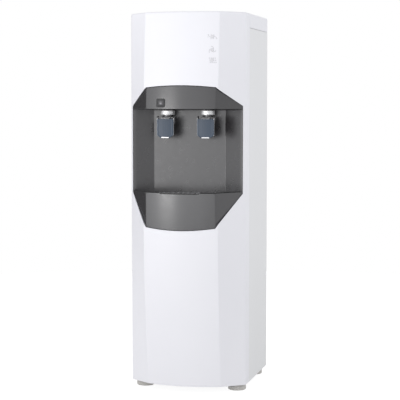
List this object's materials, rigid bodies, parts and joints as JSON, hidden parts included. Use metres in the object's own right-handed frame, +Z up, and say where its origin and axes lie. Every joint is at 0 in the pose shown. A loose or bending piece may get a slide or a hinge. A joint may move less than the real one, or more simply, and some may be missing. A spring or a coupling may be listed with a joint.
{
  "type": "floor-standing water dispenser",
  "caption": "Tall white hot and cold water dispenser with a bowed front, a dark dispensing bay, lever taps, a pull-out drip tray and levelling feet.",
  "frame": {"origin": "on the floor, at the centre of the object's bounding box in plan", "axes": "+Z up, the front with the dispensing bay faces -Y, +X to the right of someone facing the front"},
  "size_m": [0.342, 0.4144, 1.085],
  "materials": {
    "white_plastic": "satin cool white moulded plastic",
    "white_painted_steel": "white baked enamel on sheet steel",
    "dark_grey_plastic": "dark warm grey satin plastic with a fine grain",
    "chrome": "bright chrome plating",
    "smoked_plastic": "smoked blue-grey clear plastic",
    "stainless_steel": "brushed stainless steel",
    "galvanised_steel": "galvanised sheet",
    "black_painted_metal": "black paint, satin",
    "white_foam": "moulded white polystyrene foam",
    "copper": "drawn copper tube",
    "black_plastic": "black moulded plastic",
    "filter_blue": "blue moulded plastic",
    "lamp_lens": "frosted clear plastic",
    "board_green": "green circuit board",
    "silicone_tube": "milky silicone tube",
    "foot_grey_plastic": "beige-grey moulded plastic"
  },
  "bodies": {
    "cabinet": {"front_cover": "white_plastic", "side_panel_left": "white_painted_steel", "side_panel_right": "white_painted_steel", "base_plate": "galvanised_steel", "rear_panel": "galvanised_steel", "bay_housing": "dark_grey_plastic", "heating_lamp_lens": "lamp_lens", "cooling_lamp_lens": "lamp_lens", "ready_lamp_lens": "lamp_lens", "lamp_board": "board_green", "control_box": "white_plastic", "hot_tap_body": "chrome", "hot_tap_cap": "chrome", "hot_tap_spout": "black_plastic", "hot_tap_pin": "stainless_steel", "cold_tap_body": "chrome", "cold_tap_cap": "chrome", "cold_tap_spout": "black_plastic", "cold_tap_pin": "stainless_steel", "upper_shelf": "galvanised_steel", "lower_shelf": "galvanised_steel", "cold_tank_insulation": "white_foam", "cold_tank": "stainless_steel", "evaporator_coil": "copper", "cold_tank_lid": "white_plastic", "float_valve": "white_plastic", "hot_tank": "stainless_steel", "heater_band": "black_painted_metal", "hot_water_tube": "silicone_tube", "cold_water_tube": "silicone_tube", "compressor": "black_painted_metal", "condenser": "black_painted_metal", "filter_manifold": "white_plastic", "switch_housing": "black_plastic", "power_inlet": "black_plastic", "water_inlet": "white_plastic"},
    "lid": {"top_cover": "white_plastic"},
    "drip_drawer": {"drip_tray": "dark_grey_plastic", "drip_tray_front": "dark_grey_plastic"},
    "grille": {"drip_grille": "stainless_steel"},
    "hot_lever": {"hot_tap_lever": "chrome", "hot_tap_paddle": "smoked_plastic"},
    "hot_plunger": {"hot_tap_plunger": "black_plastic"},
    "cold_lever": {"cold_tap_lever": "chrome", "cold_tap_paddle": "smoked_plastic"},
    "cold_plunger": {"cold_tap_plunger": "black_plastic"},
    "lock_button": {"hot_lock_button": "dark_grey_plastic"},
    "float": {"float_arm": "white_plastic"},
    "filter_1": {"filter_cartridge_1": "filter_blue"},
    "filter_2": {"filter_cartridge_2": "filter_blue"},
    "filter_3": {"filter_cartridge_3": "filter_blue"},
    "hot_rocker": {"hot_switch": "black_plastic"},
    "cold_rocker": {"cold_switch": "black_plastic"},
    "drain": {"drain_cap": "black_plastic"},
    "foot_front_left": {"front_left_foot": "foot_grey_plastic"},
    "foot_front_right": {"front_right_foot": "foot_grey_plastic"},
    "foot_rear_left": {"rear_left_foot": "foot_grey_plastic"},
    "foot_rear_right": {"rear_right_foot": "foot_grey_plastic"}
  },
  "joints": [
    {"name": "top_cover_lift", "type": "slide", "parent": "cabinet", "child": "lid", "axis": [0, 0, 1], "range_m": [0, 0.06]},
    {"name": "drip_tray_slide", "type": "slide", "parent": "cabinet", "child": "drip_drawer", "axis": [0, -1, 0], "range_m": [0, 0.1]},
    {"name": "drip_grille_lift", "type": "slide", "parent": "drip_drawer", "child": "grille", "axis": [0, 0, 1], "range_m": [0, 0.04]},
    {"name": "hot_tap_hinge", "type": "hinge", "parent": "cabinet", "child": "hot_lever", "pos_m": [-0.0593, -0.1218, 0.787], "axis": [1, 0, 0], "range_deg": [0, 12], "stiffness_Nm_per_rad": 0.6, "springref_deg": -5.73},
    {"name": "hot_plunger_slide", "type": "slide", "parent": "cabinet", "child": "hot_plunger", "axis": [0, 1, 0], "range_m": [0, 0.004]},
    {"name": "cold_tap_hinge", "type": "hinge", "parent": "cabinet", "child": "cold_lever", "pos_m": [0.0593, -0.1218, 0.787], "axis": [1, 0, 0], "range_deg": [0, 12], "stiffness_Nm_per_rad": 0.6, "springref_deg": -5.73},
    {"name": "cold_plunger_slide", "type": "slide", "parent": "cabinet", "child": "cold_plunger", "axis": [0, 1, 0], "range_m": [0, 0.004]},
    {"name": "hot_lock_slide", "type": "slide", "parent": "cabinet", "child": "lock_button", "axis": [0, 1, 0], "range_m": [0, 0.0025], "stiffness_N_per_m": 300, "springref_m": -0.001},
    {"name": "float_hinge", "type": "hinge", "parent": "cabinet", "child": "float", "pos_m": [0.045, 0.0735, 0.968], "axis": [0, 1, 0], "range_deg": [0, 25]},
    {"name": "filter_1_turn", "type": "hinge", "parent": "cabinet", "child": "filter_1", "pos_m": [-0.07, -0.105, 0.39], "axis": [0, 0, 1], "range_deg": [0, 90]},
    {"name": "filter_2_turn", "type": "hinge", "parent": "cabinet", "child": "filter_2", "pos_m": [0, -0.105, 0.39], "axis": [0, 0, 1], "range_deg": [0, 90]},
    {"name": "filter_3_turn", "type": "hinge", "parent": "cabinet", "child": "filter_3", "pos_m": [0.07, -0.105, 0.39], "axis": [0, 0, 1], "range_deg": [0, 90]},
    {"name": "hot_switch_rock", "type": "hinge", "parent": "cabinet", "child": "hot_rocker", "pos_m": [0.098, 0.1732, 0.7], "axis": [1, 0, 0], "range_deg": [0, 14]},
    {"name": "cold_switch_rock", "type": "hinge", "parent": "cabinet", "child": "cold_rocker", "pos_m": [0.122, 0.1732, 0.7], "axis": [1, 0, 0], "range_deg": [0, 14]},
    {"name": "drain_cap_turn", "type": "hinge", "parent": "cabinet", "child": "drain", "pos_m": [0.1, 0.176, 0.1], "axis": [0, 1, 0], "continuous": true},
    {"name": "front_left_foot_turn", "type": "hinge", "parent": "cabinet", "child": "foot_front_left", "pos_m": [-0.138, -0.069, 0.01], "axis": [0, 0, 1], "continuous": true},
    {"name": "front_right_foot_turn", "type": "hinge", "parent": "cabinet", "child": "foot_front_right", "pos_m": [0.138, -0.069, 0.01], "axis": [0, 0, 1], "continuous": true},
    {"name": "rear_left_foot_turn", "type": "hinge", "parent": "cabinet", "child": "foot_rear_left", "pos_m": [-0.138, 0.165, 0.01], "axis": [0, 0, 1], "continuous": true},
    {"name": "rear_right_foot_turn", "type": "hinge", "parent": "cabinet", "child": "foot_rear_right", "pos_m": [0.138, 0.165, 0.01], "axis": [0, 0, 1], "continuous": true}
  ],
  "couplings": [
    {"joint": "hot_plunger_slide", "follows": "hot_tap_hinge", "m_per_rad": 0.0175},
    {"joint": "cold_plunger_slide", "follows": "cold_tap_hinge", "m_per_rad": 0.0175}
  ]
}
